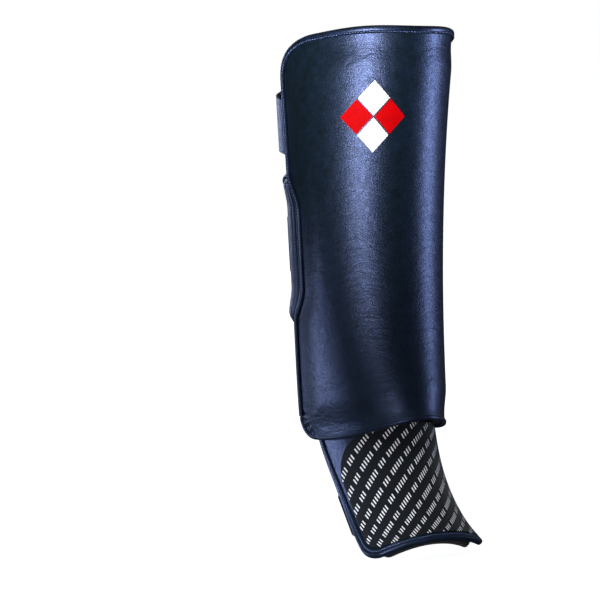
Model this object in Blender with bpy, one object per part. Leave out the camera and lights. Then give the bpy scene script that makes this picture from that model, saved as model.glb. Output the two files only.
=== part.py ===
"""Shin pad for a right leg, as worn in kick boxing, with its instep guard.

The leg's axis is the Z axis, the toes point along -Y and the outer side of the leg is at -X. The origin is
in the middle of the hollow for the calf, half way up the shin shell. The shell is half an ellipse round the
leg: a place on it is an angle from the ridge and a height over the hem.
"""

import math

import bpy
import numpy as np

# Shin shell, in metres
SHIN_LENGTH = 0.350
TOP_HALF_WIDTH = 0.0735
HEM_HALF_WIDTH = 0.0605
WAIST_PINCH = 0.0012
HEM_TAPER = 0.003
END_DEPTH = 0.1035
WAIST_DEPTH = 0.0830
BACK_EDGE_ANGLE = math.radians(93.5)
TOP_CORNER_RADIUS = 0.040
TOP_CROWN = 0.016
HEM_CORNER_RADIUS = 0.017
HEM_ARCH = 0.026
TOP_SLANT = 0.005
RIDGE_FOAM = 0.021
FLANK_FOAM = 0.010
HEM_FOAM_LOSS = 0.4
FLANGE = 0.0018
FLANGE_WIDTH = 0.0088
SKIN_DIP = 0.0022
ROLL_WIDTH = 0.011

# Edge binding and hem piping
CLEARANCE = 0.0003
TAPE = 0.0011
BINDING_WIDTH = 0.0046
BINDING_SLACK = 0.0005
PIPING_WIDTH = 0.0022
PIPING_TAPE = 0.0010

# Calf wings
WING_FROM_TOP = 0.122
WING_HEIGHT = 0.131
WING_RECESS = 0.013
WING_RECESS_RUN = 0.032
WING_SEAM = 0.0009
WING_LENGTH = 0.053
WING_BEND_RADIUS = 0.038
WING_CORNER_RADIUS = 0.014
WING_SLOPE = 0.022
WING_THICKNESS = 0.0042

# Straps
STRAP_WIDTH = 0.050
STRAP_THICKNESS = 0.0026
STRAP_FROM_TOP = 0.058
STRAP_SEWN_LENGTH = 0.024
STRAP_SEAT = 0.0021
STRAP_FREE_LEAN = 0.14
STRAP_CURVE = 0.62
CALF_DEPTH = 0.066
LOWER_CALF_DEPTH = 0.057
STRAP_OVERLAP = 0.30
STRAP_RISE_START = 0.34
STRAP_RISE_RUN = 0.30
LOWER_STRAP_ON_WING = 0.020

# Instep guard
INSTEP_TUCK = 0.006
INSTEP_DROP = 0.072
INSTEP_LENGTH = HEM_ARCH + INSTEP_TUCK + INSTEP_DROP
INSTEP_HALF_GIRTH = 0.061
INSTEP_TOP_DEPTH = 0.0755
INSTEP_TOE_DEPTH = 0.125
INSTEP_TOP_HALF_WIDTH = 0.0494
INSTEP_TOE_HALF_WIDTH = 0.0555
INSTEP_WAIST_PINCH = 0.0032
INSTEP_TOP_RISE = 0.070
INSTEP_TOE_RISE = 0.023
INSTEP_TOP_TILT = math.radians(20)
INSTEP_TOE_TILT = math.radians(40)
INSTEP_TOP_ARC = math.radians(88)
INSTEP_TOE_ARC = math.radians(50)
INSTEP_TOP_PULL = (0.02, 0.31)
INSTEP_TOE_PULL = (0.50, 0.19)
INSTEP_CORNER_RADIUS = 0.012
INSTEP_SHELL = 0.0024
PRINT_CLOTH = 0.0010
PRINT_GAP = 0.00045
PRINT_MARGIN = 0.0062
PRINT_TOP_MARGIN = 0.014
PRINT_CORNER_RADIUS = 0.032
INSTEP_PAD_FOAM = 0.0100
INSTEP_PAD_GAP = 0.0019
INSTEP_PAD_MARGIN = 0.0090
INSTEP_PAD_TOE_MARGIN = 0.0025
FOOT_STRAP_WIDTH = 0.030
FOOT_STRAP_THICKNESS = 0.0020
FOOT_STRAP_START = 0.42
FOOT_STRAP_HANG = 0.0048
FOOT_STRAP_SAG = 0.012

# Mesh fineness
SIDE_STEPS = 16
HEIGHT_STEPS = 14
INSTEP_COLUMNS = 8
INSTEP_ROWS = 7


def unit(vectors):
    """Vectors of length one."""
    return vectors / np.linalg.norm(vectors, axis=-1, keepdims=True)


def smooth(share):
    """Zero below 0, one above 1, and an S-shaped rise between them."""
    share = np.clip(share, 0.0, 1.0)
    return share * share * (3 - 2 * share)


def recess(height):
    """Angle by which the wings' seats set the back edge forward, at a height over the hem."""
    below_top = SHIN_LENGTH - height
    starts = smooth((below_top - WING_FROM_TOP) / WING_RECESS_RUN)
    ends = smooth((WING_FROM_TOP + WING_HEIGHT - below_top) / WING_RECESS_RUN)
    return WING_RECESS / WAIST_DEPTH * np.minimum(starts, ends)


def skin(angle, height):
    """Outer leather: half an ellipse, slimmer to the hem, with its ridge hollowed at mid height."""
    angle, height = np.broadcast_arrays(angle, height)
    down = 1 - height / SHIN_LENGTH
    width = TOP_HALF_WIDTH + (HEM_HALF_WIDTH - TOP_HALF_WIDTH) * down
    width = width - 4 * WAIST_PINCH * down * (1 - down) - HEM_TAPER * down**10
    depth = WAIST_DEPTH + (END_DEPTH - WAIST_DEPTH) * (2 * down - 1) ** 2
    turn = angle * (1 - recess(height) / BACK_EDGE_ANGLE)
    arch = HEM_ARCH * np.cos(turn) ** 2 * down**4
    crown = (TOP_SLANT * np.sin(turn) + TOP_CROWN * np.sin(turn) ** 4) * (1 - down) ** 3
    lift = height - SHIN_LENGTH / 2 + arch - crown
    return np.stack([width * np.sin(turn), -depth * np.cos(turn), lift], axis=-1)


def skin_frame(angle, height):
    """Point on the skin, its outward normal and its direction round the leg."""
    step = 1e-4
    point = skin(angle, height)
    around = skin(angle + step, height) - skin(angle - step, height)
    upward = skin(angle, height + step * SHIN_LENGTH) - skin(angle, height - step * SHIN_LENGTH)
    return point, unit(np.cross(around, upward)), unit(around)


def edge_distance(angle, height):
    """Distance in from the shell's edge, measured on the skin laid flat, with round corners."""
    from_middle = height - SHIN_LENGTH / 2
    radius = np.where(from_middle > 0, TOP_CORNER_RADIUS, HEM_CORNER_RADIUS)
    past_side = (np.abs(angle) - BACK_EDGE_ANGLE) * WAIST_DEPTH + radius
    past_end = np.abs(from_middle) - SHIN_LENGTH / 2 + radius
    outside = np.hypot(np.maximum(past_side, 0), np.maximum(past_end, 0))
    return radius - np.minimum(np.maximum(past_side, past_end), 0) - outside


def corner_inset(from_side, radius):
    """How far a round corner sets an end in from its straight line, at a distance from the side."""
    return radius - np.sqrt(radius**2 - (radius - np.clip(from_side, 0, radius)) ** 2)


def clustered(steps):
    """Shares from -1 to 1, closer together towards the ends."""
    return np.sin(np.linspace(-math.pi / 2, math.pi / 2, 2 * steps + 1))


def shell_grid():
    """Angles and heights of the shell's grid: rows from hem to top, columns from -X to +X."""
    angle = BACK_EDGE_ANGLE * clustered(SIDE_STEPS)
    from_back = (BACK_EDGE_ANGLE - np.abs(angle)) * WAIST_DEPTH
    lowest = corner_inset(from_back, HEM_CORNER_RADIUS)
    highest = SHIN_LENGTH - corner_inset(from_back, TOP_CORNER_RADIUS)
    share = (clustered(HEIGHT_STEPS)[:, None] + 1) / 2
    return np.broadcast_to(angle, (len(share), len(angle))), lowest + (highest - lowest) * share


def foam_roll(angle, height):
    """How full the foam is: none under the binding, all of it past the roll."""
    return smooth((edge_distance(angle, height) - FLANGE_WIDTH) / ROLL_WIDTH)


def shell_depths(angle, height):
    """Depths under the skin of the shell's outer and inner face."""
    roll = foam_roll(angle, height)
    foam = FLANK_FOAM + (RIDGE_FOAM - FLANK_FOAM) * np.maximum(np.cos(angle), 0) ** 1.5
    foam = foam * (1 - HEM_FOAM_LOSS * (1 - height / SHIN_LENGTH) ** 6)
    outer = SKIN_DIP * (1 - roll)
    return outer, outer + FLANGE + (foam - FLANGE) * roll


def new_material(name, colour, roughness, metallic=0.0):
    """Principled material of a piece."""
    material = bpy.data.materials.new(name)
    material.use_nodes = True
    shader = material.node_tree.nodes["Principled BSDF"]
    shader.inputs["Base Color"].default_value = (*colour, 1.0)
    shader.inputs["Roughness"].default_value = roughness
    shader.inputs["Metallic"].default_value = metallic
    return material


def add_mesh(name, points, faces, material):
    """Object with a smooth mesh that has sharp edges where it turns hard."""
    mesh = bpy.data.meshes.new(name)
    mesh.from_pydata(np.asarray(points).reshape(-1, 3).tolist(), [], faces)
    mesh.shade_smooth()
    mesh.set_sharp_from_angle(angle=math.radians(50))
    mesh.materials.append(material)
    obj = bpy.data.objects.new(name, mesh)
    bpy.context.collection.objects.link(obj)
    return obj


def add_slab(name, front, back, material):
    """Closed slab between two grids of points: the front grid's rows and columns turn outwards."""
    rows, columns = front.shape[:2]
    index = np.arange(rows * columns).reshape(rows, columns)
    low, right = index[:-1, :-1], index[:-1, 1:]
    high_right, high = index[1:, 1:], index[1:, :-1]
    facing = np.stack([low, right, high_right, high], axis=-1).reshape(-1, 4)
    behind = facing[:, ::-1] + rows * columns
    rim = np.concatenate([index[0, :], index[1:, -1], index[-1, -2::-1], index[-2:0:-1, 0]])
    after = np.roll(rim, -1)
    sides = np.stack([rim, rim + rows * columns, after + rows * columns, after], axis=-1)
    faces = np.concatenate([facing, behind, sides]).tolist()
    return add_mesh(name, np.concatenate([front.reshape(-1, 3), back.reshape(-1, 3)]), faces, material)


def add_sweep(name, path, inward, normal, profile, material):
    """Profile of (inward, normal) distances carried along a path, with closed ends."""
    places = path[:, None] + profile[:, :1] * inward[:, None] + profile[:, 1:] * normal[:, None]
    stations, corners = places.shape[:2]
    index = np.arange(stations * corners).reshape(stations, corners)
    here, after = index, np.roll(index, -1, axis=1)
    walls = np.stack([here[:-1], after[:-1], after[1:], here[1:]], axis=-1).reshape(-1, 4)
    first = index[0, ::-1].tolist()
    last = index[-1].tolist()
    return add_mesh(name, places, walls.tolist() + [first, last], material)


def tape_profile(inside, width, tape):
    """Tape folded over an edge that is so thick inside: a U, as (inward, normal) distances."""
    gap = inside / 2 + CLEARANCE
    full = gap + tape
    nose = CLEARANCE + tape
    return np.array(
        [
            (width, full),
            (width, gap),
            (-CLEARANCE, gap),
            (-CLEARANCE, -gap),
            (width, -gap),
            (width, -full),
            (0.0, -full),
            (-nose, -full / 2),
            (-nose, full / 2),
            (0.0, full),
        ]
    )


def make_shin_pad(material):
    """Padded shell: full foam in the middle, a thin flange round its edge."""
    angle, height = shell_grid()
    point, normal, _ = skin_frame(angle, height)
    front, back = (point - depth[..., None] * normal for depth in shell_depths(angle, height))
    return add_slab("shin_pad", front, back, material)


def edge_frames(angle, height):
    """Middle of the flange along its edge, with the directions in from the edge and out of the skin."""
    point, normal, _ = skin_frame(angle, height)
    path = point - (SKIN_DIP + FLANGE / 2) * normal
    along = unit(np.gradient(path, axis=0))
    return path, unit(np.cross(normal, along)), normal


def make_edge_binding(material):
    """Binding up the left back edge, over the top and down the right back edge."""
    angle, height = shell_grid()
    route_angle = np.concatenate([angle[:, 0], angle[-1, 1:-1], angle[::-1, -1]])
    route_height = np.concatenate([height[:, 0], height[-1, 1:-1], height[::-1, -1]])
    path, inward, normal = edge_frames(route_angle, route_height)
    profile = tape_profile(FLANGE + BINDING_SLACK, BINDING_WIDTH, TAPE)
    return add_sweep("edge_binding", path, -inward, normal, profile, material)


def make_hem_piping(material):
    """Thin roll along the hem, between the ends of the edge binding."""
    angle, height = shell_grid()
    path, inward, normal = edge_frames(angle[0, 1:-1], height[0, 1:-1])
    profile = tape_profile(FLANGE, PIPING_WIDTH, PIPING_TAPE)[::-1]
    return add_sweep("hem_piping", path, inward, normal, profile, material)


def back_edge(side, height):
    """Shell's back edge between its grid's rows: point, outward normal and direction round the leg."""
    angle, rows = (grid[:, 0] for grid in shell_grid())
    values = np.concatenate(skin_frame(-side * angle, rows), axis=-1)
    between = np.stack([np.interp(height, rows, column) for column in values.T], axis=-1)
    return np.split(between, 3, axis=-1)


def wing_surface(side, along, height, off=0.0):
    """Wing's middle surface: on from the flank, bent round the calf; off is a distance outwards."""
    point, normal, around = back_edge(side, height)
    backward = side * around
    start = CLEARANCE + TAPE + WING_SEAM
    base = point - (SKIN_DIP + FLANGE / 2) * normal + start * backward
    bend = (along / WING_BEND_RADIUS)[..., None]
    reach = WING_BEND_RADIUS * (np.sin(bend) * backward - (1 - np.cos(bend)) * normal)
    return base + reach + off * (np.cos(bend) * normal + np.sin(bend) * backward)


def make_calf_wing(name, side, material):
    """Side panel: a thin curved slab with round corners at its free end."""
    along_steps = np.sin(np.linspace(0, math.pi / 2, 9)) * WING_LENGTH
    bottom = SHIN_LENGTH - WING_FROM_TOP - WING_HEIGHT
    corner = corner_inset(WING_LENGTH - along_steps, WING_CORNER_RADIUS)
    corner = corner + WING_SLOPE * along_steps / WING_LENGTH
    rows = shell_grid()[1][:, 0]
    within = rows[(rows > bottom) & (rows < bottom + WING_HEIGHT)]
    share = (np.concatenate([[bottom], within, [bottom + WING_HEIGHT]])[:, None] - bottom) / WING_HEIGHT
    height = bottom + corner + (WING_HEIGHT - 2 * corner) * share
    along = np.broadcast_to(along_steps, height.shape)
    half = WING_THICKNESS / 2
    faces = [wing_surface(side, along, height, off) for off in (half, -half)]
    if side < 0:
        faces = [grid[:, ::-1] for grid in faces]
    return add_slab(name, faces[0], faces[1], material)


def bezier(start, first, second, end, share):
    """Cubic curve from start to end, pulled by two points between them."""
    rest = 1 - share
    return rest**3 * start + 3 * rest**2 * share * first + 3 * rest * share**2 * second + share**3 * end


def strap_route(height, share, seat, seat_direction, depth):
    """Half a strap's loop from its seat at one flank to the middle of the calf's back."""
    back = np.stack([np.zeros_like(height), np.full_like(height, depth), height - SHIN_LENGTH / 2], axis=-1)
    pull = STRAP_CURVE * (depth - seat[..., 1:2])
    sideways = seat * (STRAP_CURVE, 0.0, 0.0) + back * (0.0, 1.0, 1.0)
    return bezier(seat, seat + pull * seat_direction, sideways, back, share[..., None])


def upper_strap_half(side, share, height):
    """Middle of the upper strap: sewn inside the flank for share below 0, then free round the calf."""
    sewn = np.clip(-share, 0, 1) * STRAP_SEWN_LENGTH
    angle = side * (BACK_EDGE_ANGLE - sewn / END_DEPTH)
    point, normal, around = skin_frame(angle, height)
    inner = shell_depths(angle, height)[1] + STRAP_SEAT + STRAP_THICKNESS / 2
    seat = point - inner[..., None] * normal
    direction = unit(side * around + STRAP_FREE_LEAN * normal)
    free = strap_route(height, np.clip(share, 0, 1), seat, direction, CALF_DEPTH)
    return np.where(share[..., None] < 0, seat, free)


def loop_sheet(half, shares, height, side):
    """Strap's middle surface along a signed share, from one side or past the back's middle to the other."""
    near = half(side, np.minimum(shares, 1), height)
    far = half(-side, np.clip(2 - shares, -1, 1), height)
    return np.where(shares[..., None] <= 1, near, far)


def strap_slab(name, middle, rise, material):
    """Slab of the strap's thickness round a middle surface, lifted outwards by rise."""
    along = np.gradient(middle, axis=1)
    upward = np.gradient(middle, axis=0)
    normal = unit(np.cross(along, upward))
    outward = normal * np.sign((normal * (middle * (1, 1, 0))).sum(axis=-1).mean())
    lifted = middle + rise[..., None] * outward
    half = STRAP_THICKNESS / 2 * normal
    return add_slab(name, lifted + half, lifted - half, material)


def make_upper_straps(anchor_material, elastic_material):
    """Anchor strap from the left flank, and the strap from the right flank that fastens over it."""
    height = np.linspace(0, STRAP_WIDTH, 3)[:, None] + SHIN_LENGTH - STRAP_FROM_TOP - STRAP_WIDTH
    shares, level = np.broadcast_arrays(np.linspace(-1, 1 + STRAP_OVERLAP, 26)[None, :], height)
    anchor = loop_sheet(upper_strap_half, shares, level, -1)
    strap_slab("upper_strap_anchor", anchor, 0 * shares, anchor_material)
    over = smooth((shares - STRAP_RISE_START) / STRAP_RISE_RUN)
    rise = (STRAP_THICKNESS + CLEARANCE) * over[:, ::-1]
    strap = loop_sheet(upper_strap_half, shares, level, 1)[:, ::-1]
    strap_slab("upper_strap", strap, rise, elastic_material)


def lower_strap_half(side, share, height):
    """Middle of the lower strap: on the wing's outer face for share below 0, then free round the calf."""
    off = WING_THICKNESS / 2 + CLEARANCE + STRAP_THICKNESS / 2
    along = WING_LENGTH - np.clip(-share, 0, 1) * LOWER_STRAP_ON_WING
    seat = wing_surface(side, along, height, off)
    before = wing_surface(side, along - 0.001, height, off)
    free = strap_route(height, np.clip(share, 0, 1), seat, unit(seat - before), LOWER_CALF_DEPTH)
    return np.where(share[..., None] < 0, seat, free)


def make_lower_strap(material):
    """Strap from wing to wing round the back of the calf."""
    bottom = SHIN_LENGTH - WING_FROM_TOP - (WING_HEIGHT + STRAP_WIDTH) / 2
    height = np.linspace(0, STRAP_WIDTH, 3)[:, None] + bottom
    shares, level = np.broadcast_arrays(np.linspace(-1, 3, 29)[None, :], height)
    middle = loop_sheet(lower_strap_half, shares, level, -1)
    return strap_slab("lower_strap", middle, 0 * shares, material)


def instep_point(across, down):
    """Instep guard's outer face: an arch over the foot, carried down and forward along its ridge.

    across runs from -1 to 1 between its side edges, down from 0 under the hem to 1 at the toes.
    """
    run = np.array((INSTEP_TOE_DEPTH - INSTEP_TOP_DEPTH, INSTEP_LENGTH))
    start = np.array((-INSTEP_TOP_DEPTH, HEM_ARCH + INSTEP_TUCK - SHIN_LENGTH / 2))
    end = start - run
    ridge = bezier(start, start - INSTEP_TOP_PULL * run, end + INSTEP_TOE_PULL * run, end, down[..., None])
    width = INSTEP_TOP_HALF_WIDTH + (INSTEP_TOE_HALF_WIDTH - INSTEP_TOP_HALF_WIDTH) * down
    width = width - INSTEP_WAIST_PINCH * np.sin(math.pi * down) ** 2
    rise = INSTEP_TOP_RISE + (INSTEP_TOE_RISE - INSTEP_TOP_RISE) * down
    tilt = INSTEP_TOP_TILT + (INSTEP_TOE_TILT - INSTEP_TOP_TILT) * down
    arc = INSTEP_TOP_ARC + (INSTEP_TOE_ARC - INSTEP_TOP_ARC) * down
    drop = rise * (1 - np.cos(arc * across)) / (1 - np.cos(arc))
    return np.stack(
        [
            width * np.sin(arc * across) / np.sin(arc),
            ridge[..., 0] + drop * np.cos(tilt),
            ridge[..., 1] - drop * np.sin(tilt),
        ],
        axis=-1,
    )


def instep_frame(across, down):
    """Point on the instep's outer face and its outward normal."""
    step = 1e-4
    sideways = instep_point(across + step, down) - instep_point(across - step, down)
    onward = instep_point(across, down - step) - instep_point(across, down + step)
    return instep_point(across, down), unit(np.cross(sideways, onward))


def instep_grid(side, toe, upper, top_radius=0.0):
    """Places on the instep set in from its side, toe and top edges, with round corners."""
    share = clustered(INSTEP_COLUMNS)
    from_side = (1 - np.abs(share)) * INSTEP_HALF_GIRTH
    across = share * (1 - side / INSTEP_HALF_GIRTH)
    first = (upper + corner_inset(from_side, top_radius)) / INSTEP_LENGTH
    last = 1 - (toe + corner_inset(from_side, INSTEP_CORNER_RADIUS)) / INSTEP_LENGTH
    rows = (1 - clustered(INSTEP_ROWS)[:, None]) / 2
    return np.broadcast_to(across, (len(rows), len(across))), first + (last - first) * rows


def instep_slab(name, margins, top, bottom, material):
    """Layer of the instep between two depths under its outer face, set in from its edges by margins."""
    point, normal = instep_frame(*instep_grid(*margins))
    return add_slab(name, point - top * normal, point - bottom * normal, material)


def make_instep_binding(material):
    """Binding down both sides and along the toe edge of the instep."""
    across, down = instep_grid(0, 0, 0)
    around = [np.concatenate([grid[::-1, 0], grid[0, 1:-1], grid[:, -1]]) for grid in (across, down)]
    point, normal = instep_frame(*around)
    path = point - INSTEP_SHELL / 2 * normal
    along = unit(np.gradient(path, axis=0))
    inward = unit(np.cross(normal, along))
    profile = tape_profile(INSTEP_SHELL, BINDING_WIDTH, TAPE)[::-1]
    return add_sweep("instep_binding", path, inward, normal, profile, material)


def make_foot_strap(material):
    """Elastic that hangs in a shallow bow under the sole, between the instep's side edges."""
    down = FOOT_STRAP_START + np.linspace(0, FOOT_STRAP_WIDTH, 3)[:, None] / INSTEP_LENGTH
    share = np.linspace(0, 1, 15)[None, :]
    left, _ = instep_frame(np.full_like(down, -1), down)
    right, _ = instep_frame(np.full_like(down, 1), down)
    middle = left[:, 0][:, None] * (1 - share[..., None]) + right[:, 0][:, None] * share[..., None]
    fall = FOOT_STRAP_HANG + FOOT_STRAP_SAG * np.sin(math.pi * share) ** 0.8
    middle = middle - fall[..., None] * (0, 0, 1)
    normal = unit(np.cross(np.gradient(middle, axis=1), np.gradient(middle, axis=0)))
    half = FOOT_STRAP_THICKNESS / 2 * normal
    return add_slab("foot_strap", middle + half, middle - half, material)


def main():
    for obj in list(bpy.data.objects):
        bpy.data.objects.remove(obj, do_unlink=True)
    leather = new_material("synthetic_leather", (0.012, 0.016, 0.035), 0.35)
    tape = new_material("binding_tape", (0.010, 0.012, 0.026), 0.40)
    cloth = new_material("printed_cloth", (0.020, 0.022, 0.026), 0.85)
    foam = new_material("covered_foam", (0.008, 0.008, 0.012), 0.80)
    strap = new_material("strap_leather", (0.012, 0.014, 0.030), 0.45)
    elastic = new_material("elastic_webbing", (0.010, 0.010, 0.012), 0.90)
    make_shin_pad(leather)
    make_edge_binding(tape)
    make_hem_piping(tape)
    make_calf_wing("calf_wing_left", -1, leather)
    make_calf_wing("calf_wing_right", 1, leather)
    make_upper_straps(strap, elastic)
    make_lower_strap(elastic)
    instep_slab("instep_pad", (0, 0, 0), 0, INSTEP_SHELL, leather)
    print_margins = (PRINT_MARGIN, PRINT_MARGIN, PRINT_TOP_MARGIN, PRINT_CORNER_RADIUS)
    instep_slab("instep_print_panel", print_margins, -PRINT_GAP - PRINT_CLOTH, -PRINT_GAP, cloth)
    foam_margins = (INSTEP_PAD_MARGIN, INSTEP_PAD_TOE_MARGIN, INSTEP_PAD_MARGIN)
    seat = INSTEP_SHELL + INSTEP_PAD_GAP
    instep_slab("instep_padding", foam_margins, seat, seat + INSTEP_PAD_FOAM, foam)
    make_instep_binding(tape)
    make_foot_strap(elastic)


main()
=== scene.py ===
"""Dressed shin pad for a right leg: satin navy leather over foam, with a printed instep guard."""

import math

import bpy
import numpy as np
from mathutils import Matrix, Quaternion, Vector


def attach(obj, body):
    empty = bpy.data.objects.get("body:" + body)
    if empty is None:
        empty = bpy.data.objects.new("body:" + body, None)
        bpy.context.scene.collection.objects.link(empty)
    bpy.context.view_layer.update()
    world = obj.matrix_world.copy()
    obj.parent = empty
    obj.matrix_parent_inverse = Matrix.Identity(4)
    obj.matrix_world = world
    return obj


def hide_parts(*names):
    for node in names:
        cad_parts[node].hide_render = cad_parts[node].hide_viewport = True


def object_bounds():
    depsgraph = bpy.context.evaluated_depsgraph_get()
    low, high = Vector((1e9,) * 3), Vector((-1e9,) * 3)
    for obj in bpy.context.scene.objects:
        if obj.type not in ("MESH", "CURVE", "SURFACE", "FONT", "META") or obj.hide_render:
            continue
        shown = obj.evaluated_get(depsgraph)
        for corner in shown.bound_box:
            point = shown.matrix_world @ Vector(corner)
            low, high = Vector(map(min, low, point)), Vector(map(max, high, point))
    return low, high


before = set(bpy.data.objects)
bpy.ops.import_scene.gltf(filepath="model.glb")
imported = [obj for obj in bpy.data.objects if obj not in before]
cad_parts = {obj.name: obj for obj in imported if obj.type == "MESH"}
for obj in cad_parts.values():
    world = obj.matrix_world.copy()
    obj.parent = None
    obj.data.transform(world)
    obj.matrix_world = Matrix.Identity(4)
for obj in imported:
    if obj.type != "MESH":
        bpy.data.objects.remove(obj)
cad_box = [[float(value) for value in corner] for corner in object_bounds()]

# Camera
# A long lens, a little above the pad and 29 degrees round to its outer side, turned by one
# degree about its own axis. It looks past the pad's inner side, so the pad stands right of centre.

VIEW_AZIMUTH = math.radians(-29)
VIEW_DISTANCE = 3.4
VIEW_HEIGHT = 0.454
VIEW_ROLL = math.radians(-1.0)
LENS = 242.8
LOOK_LEFT = 0.052
LOOK_DOWN = 0.062

toward_camera = Vector((math.sin(VIEW_AZIMUTH), -math.cos(VIEW_AZIMUTH), 0))
picture_right = Vector((math.cos(VIEW_AZIMUTH), math.sin(VIEW_AZIMUTH), 0))
aim = Vector((0, 0, -LOOK_DOWN)) - LOOK_LEFT * picture_right
camera_data = bpy.data.cameras.new("camera")
camera_data.lens = LENS
camera_data.sensor_width = 36
camera = bpy.data.objects.new("camera", camera_data)
camera.location = VIEW_DISTANCE * toward_camera + Vector((0, 0, VIEW_HEIGHT))
camera.rotation_mode = "QUATERNION"
facing = (aim - camera.location).to_track_quat("-Z", "Y")
camera.rotation_quaternion = facing @ Quaternion((0, 0, 1), VIEW_ROLL)
bpy.context.collection.objects.link(camera)
bpy.context.scene.camera = camera
bpy.context.scene.view_settings.view_transform = "Standard"

# Padded shin shell
# Closed-cell foam under one sheet of satin artificial leather, bent round the shin. The foam
# stops short of the edge, so the leather rolls down to a thin sewn flange there.

SHIN_LENGTH = 0.350
TOP_HALF_WIDTH = 0.0735
HEM_HALF_WIDTH = 0.0605
WAIST_PINCH = 0.0012
HEM_TAPER = 0.003
END_DEPTH = 0.1035
WAIST_DEPTH = 0.0830
BACK_EDGE_ANGLE = math.radians(93.5)
TOP_CORNER_RADIUS = 0.040
TOP_CROWN = 0.016
HEM_CORNER_RADIUS = 0.017
HEM_ARCH = 0.026
TOP_SLANT = 0.005
RIDGE_FOAM = 0.021
FLANK_FOAM = 0.010
HEM_FOAM_LOSS = 0.4
FLANGE = 0.0018
FLANGE_WIDTH = 0.0088
SKIN_DIP = 0.0022
ROLL_WIDTH = 0.011
SKIN_ROLL_WIDTH = 0.026
CLEARANCE = 0.0003
TAPE = 0.0011
WING_FROM_TOP = 0.122
WING_HEIGHT = 0.131
WING_RECESS = 0.013
WING_RECESS_RUN = 0.032
PUCKER_DEPTH = 0.0011
PUCKER_WAVES = 11.9
PUCKER_START = 0.006
PUCKER_REACH = 0.030
PUCKER_OPENING = 0.6
PUCKER_FADE = 0.7
SHELL_COLUMNS = 190
SHELL_ROWS = 170


def unit(vectors):
    """Vectors of length one."""
    return vectors / np.maximum(np.linalg.norm(vectors, axis=-1, keepdims=True), 1e-12)


def smooth(share):
    """Zero below 0, one above 1, and an S-shaped rise between them."""
    share = np.clip(share, 0.0, 1.0)
    return share * share * (3 - 2 * share)


def bump(distance, width):
    """Round hump of height one where distance is 0, gone at a distance of width."""
    return smooth(1 - np.abs(distance) / width)


def recess(height):
    """Angle by which the wings' seats set the back edge forward, at a height over the hem."""
    below_top = SHIN_LENGTH - height
    starts = smooth((below_top - WING_FROM_TOP) / WING_RECESS_RUN)
    ends = smooth((WING_FROM_TOP + WING_HEIGHT - below_top) / WING_RECESS_RUN)
    return WING_RECESS / WAIST_DEPTH * np.minimum(starts, ends)


def skin(angle, height):
    """Outer leather: half an ellipse round the leg, slimmer to the hem, at an angle from the ridge.

    Its depth is least at mid height, the wings' seats turn the flanks forward, the hem arches up
    in front by the fourth power of the way down, and the top edge falls towards the inner flank.
    """
    angle, height = np.broadcast_arrays(angle, height)
    down = 1 - height / SHIN_LENGTH
    width = TOP_HALF_WIDTH + (HEM_HALF_WIDTH - TOP_HALF_WIDTH) * down
    width = width - 4 * WAIST_PINCH * down * (1 - down) - HEM_TAPER * down**10
    depth = WAIST_DEPTH + (END_DEPTH - WAIST_DEPTH) * (2 * down - 1) ** 2
    turn = angle * (1 - recess(height) / BACK_EDGE_ANGLE)
    arch = HEM_ARCH * np.cos(turn) ** 2 * down**4
    crown = (TOP_SLANT * np.sin(turn) + TOP_CROWN * np.sin(turn) ** 4) * (1 - down) ** 3
    lift = height - SHIN_LENGTH / 2 + arch - crown
    return np.stack([width * np.sin(turn), -depth * np.cos(turn), lift], axis=-1)


def skin_frame(angle, height):
    """Point on the skin, its outward normal and its direction round the leg."""
    step = 1e-4
    point = skin(angle, height)
    around = skin(angle + step, height) - skin(angle - step, height)
    upward = skin(angle, height + step * SHIN_LENGTH) - skin(angle, height - step * SHIN_LENGTH)
    return point, unit(np.cross(around, upward)), unit(around)


def edge_distance(angle, height):
    """Distance in from the shell's edge, measured on the skin laid flat, with round corners."""
    from_middle = height - SHIN_LENGTH / 2
    radius = np.where(from_middle > 0, TOP_CORNER_RADIUS, HEM_CORNER_RADIUS)
    past_side = (np.abs(angle) - BACK_EDGE_ANGLE) * WAIST_DEPTH + radius
    past_end = np.abs(from_middle) - SHIN_LENGTH / 2 + radius
    outside = np.hypot(np.maximum(past_side, 0), np.maximum(past_end, 0))
    return radius - np.minimum(np.maximum(past_side, past_end), 0) - outside


def corner_inset(from_side, radius):
    """How far a round corner sets an end in from its straight line, at a distance from the side."""
    return radius - np.sqrt(radius**2 - (radius - np.clip(from_side, 0, radius)) ** 2)


def clustered(steps):
    """Shares from -1 to 1, closer together towards the ends."""
    share = np.linspace(-1, 1, steps)
    return 0.45 * share + 0.55 * np.sin(share * math.pi / 2)


def hem_pucker(angle, height):
    """Height of the gathers that fan out from each hem corner, where the leather is pulled round.

    The folds are cosine waves of the direction from the corner's centre; they start at the piping,
    die away over the reach and are flat at the centre itself.
    """
    across = (BACK_EDGE_ANGLE - np.abs(angle)) * WAIST_DEPTH - HEM_CORNER_RADIUS
    above = height - HEM_CORNER_RADIUS
    direction = np.arctan2(-above, -across)
    wave = np.cos(direction * PUCKER_WAVES + 0.8 * np.sin(direction * 5 + np.sign(angle)))
    inside = edge_distance(angle, height)
    window = smooth(inside / PUCKER_START) * smooth(1 - inside / PUCKER_REACH)
    past_start = direction + PUCKER_OPENING
    before_end = math.pi / 2 + PUCKER_OPENING - direction
    fan = smooth(past_start / PUCKER_FADE) * smooth(before_end / PUCKER_FADE)
    from_centre = smooth(np.hypot(above, across) / HEM_CORNER_RADIUS)
    return PUCKER_DEPTH * wave * window * fan * from_centre


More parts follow.
